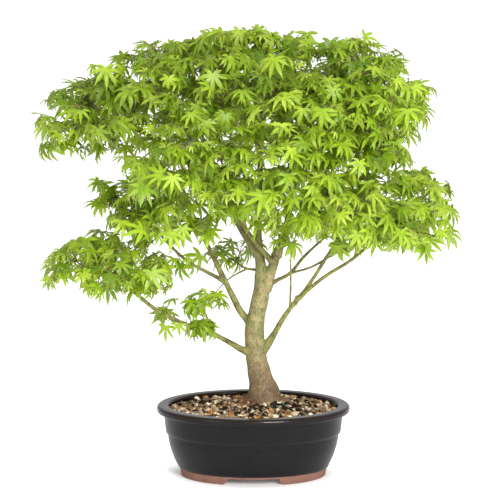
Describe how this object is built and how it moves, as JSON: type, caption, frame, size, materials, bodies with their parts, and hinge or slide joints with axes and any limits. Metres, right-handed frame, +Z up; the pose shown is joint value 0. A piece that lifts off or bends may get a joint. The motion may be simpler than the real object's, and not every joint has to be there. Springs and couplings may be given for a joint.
{
  "type": "bonsai tree in a pot",
  "caption": "Broadleaf maple bonsai with a tapered, forked trunk and layered, drooping foliage, planted in gritty soil in an oval, footed, glazed pot.",
  "frame": {"origin": "centre of the whole plant's bounding box in plan, on the surface that the pot stands on", "axes": "+Z up the tree, +X to the right along the pot's length, +Y to the back of the pot"},
  "size_m": [0.551, 0.3728, 0.5871],
  "materials": {
    "glaze": "satin",
    "black_plastic": "matte",
    "wire": "satin",
    "soil": "matte",
    "grit": "matte",
    "bark": "matte",
    "leaf": "satin"
  },
  "bodies": {
    "root": {"pot": "glaze", "drain_screen_left": "black_plastic", "drain_screen_right": "black_plastic", "screen_clip_left": "wire", "screen_clip_right": "wire", "soil": "soil", "grit_layer": "grit", "trunk_and_boughs": "bark", "foliage_lower_left": "leaf", "foliage_inner_left": "leaf", "foliage_inner_back": "leaf", "foliage_middle_left": "leaf", "foliage_lower_right": "leaf", "foliage_lower_back_right": "leaf", "foliage_front_right": "leaf", "foliage_front": "leaf", "foliage_front_left": "leaf", "foliage_upper_front_right": "leaf", "foliage_right": "leaf", "foliage_upper_left": "leaf", "foliage_back_left": "leaf", "foliage_back_right": "leaf", "foliage_back": "leaf", "foliage_upper_front": "leaf", "foliage_top_left": "leaf", "foliage_top_right": "leaf", "foliage_top": "leaf"}
  },
  "joints": []
}
